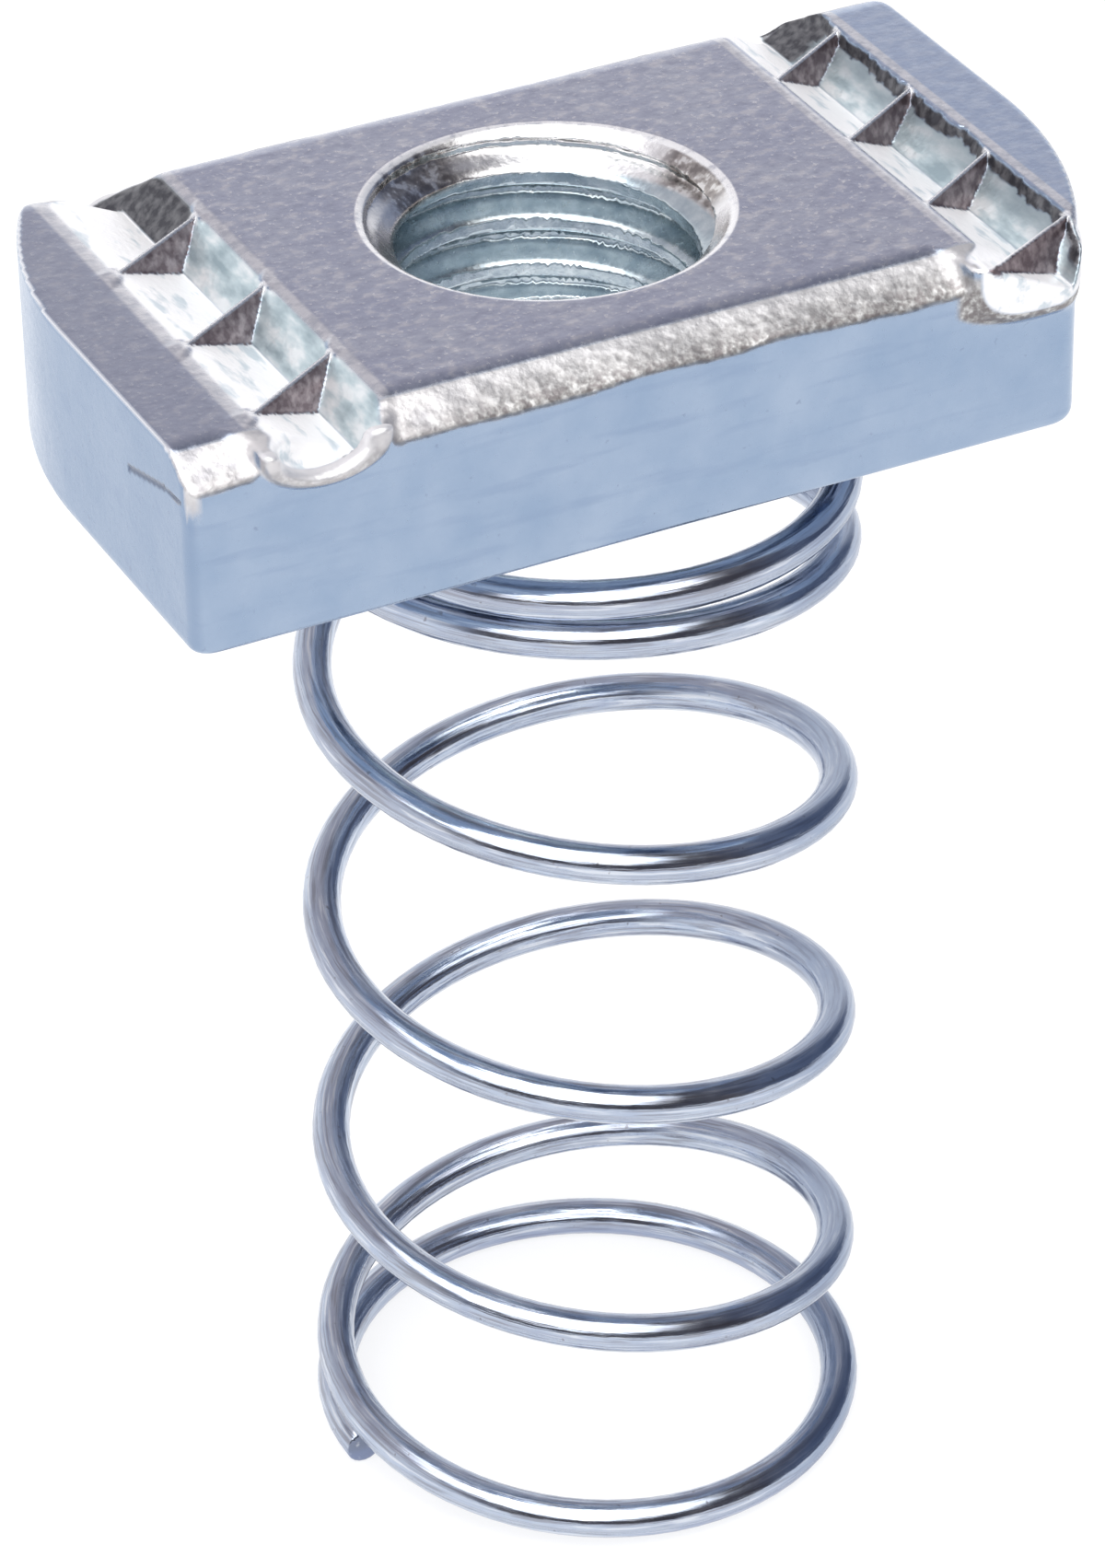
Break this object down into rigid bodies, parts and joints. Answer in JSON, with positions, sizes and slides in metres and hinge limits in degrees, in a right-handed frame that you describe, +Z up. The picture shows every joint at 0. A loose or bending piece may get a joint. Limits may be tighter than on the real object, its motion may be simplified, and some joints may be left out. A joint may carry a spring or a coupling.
{
  "type": "strut spring nut",
  "caption": "Rectangular channel nut with toothed lip grooves and a countersunk threaded hole, carried on a long left-handed compression spring.",
  "frame": {"origin": "on the thread's axis, on the surface that the spring stands on", "axes": "+X along the nut's length, +Y across its width, +Z up the spring and out of the thread's top mouth"},
  "size_m": [0.035, 0.0212, 0.0491],
  "materials": {
    "nut_zinc": "satin",
    "spring_zinc": "polished"
  },
  "bodies": {
    "spring_foot": {"spring": "spring_zinc"},
    "nut": {"channel_nut": "nut_zinc"}
  },
  "joints": [
    {"name": "press", "type": "slide", "parent": "spring_foot", "child": "nut", "axis": [0, 0, 1], "range_m": [-0.028, 0], "stiffness_N_per_m": 1450, "springref_m": 0.0005, "deforming": ["spring"]}
  ]
}
